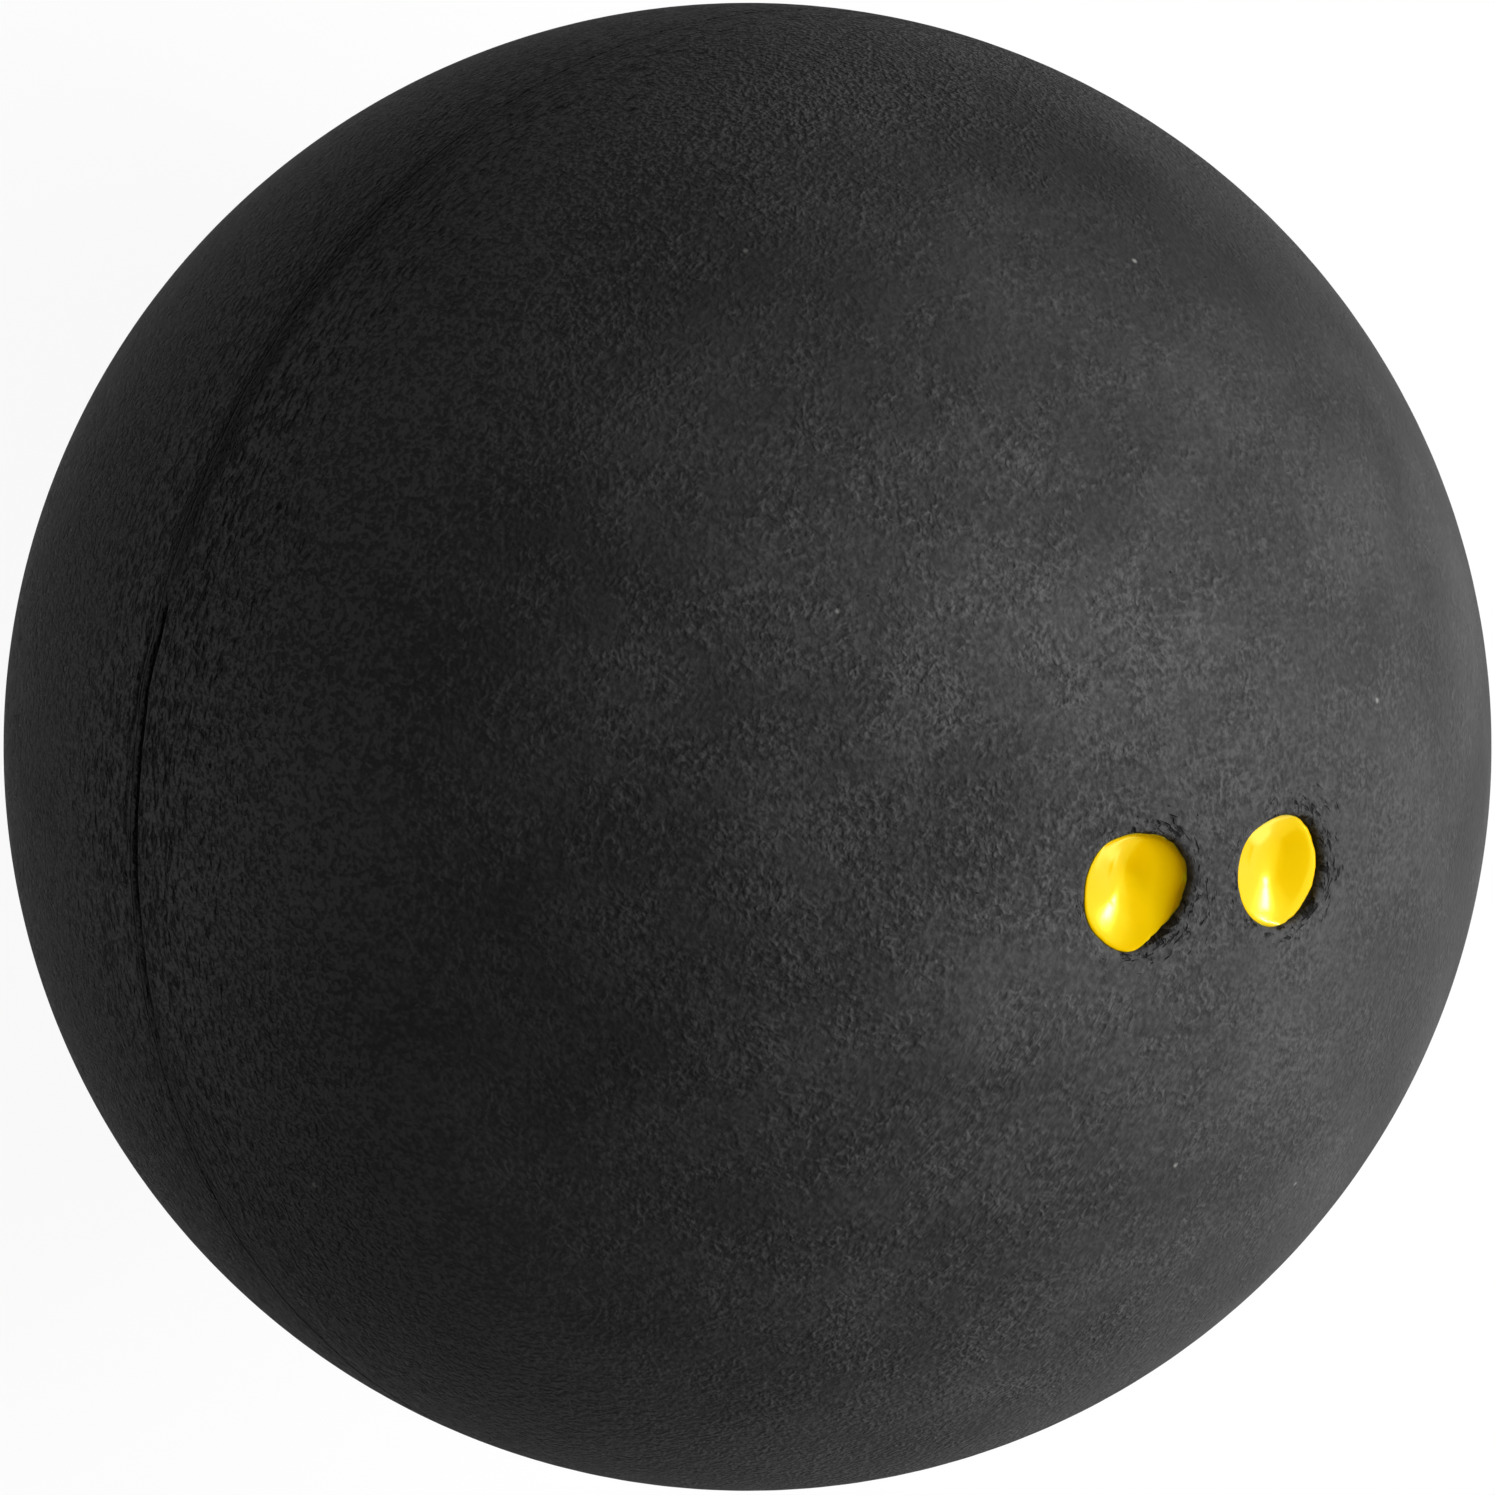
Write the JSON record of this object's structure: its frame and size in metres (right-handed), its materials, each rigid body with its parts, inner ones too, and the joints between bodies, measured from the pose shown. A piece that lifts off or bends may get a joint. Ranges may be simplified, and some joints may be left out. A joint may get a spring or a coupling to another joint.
{
  "type": "squash ball",
  "caption": "Hollow rubber ball of two cemented half shells, with painted yellow dots in moulded dimples at one pole.",
  "frame": {"origin": "centre of the ball", "axes": "+Z from the centre through the pole midway between the two dots, square to the seam's plane; +X from the left dot's side to the right dot's side"},
  "size_m": [0.04, 0.04, 0.04],
  "materials": {
    "ball_rubber": "moulded and buffed matte",
    "cement": "cured rubber cement, dull",
    "dot_paint": "gloss paint"
  },
  "bodies": {
    "root": {"dotted_half_shell": "ball_rubber", "plain_half_shell": "ball_rubber", "seam_cement": "cement", "left_dot": "dot_paint", "right_dot": "dot_paint"}
  },
  "joints": []
}
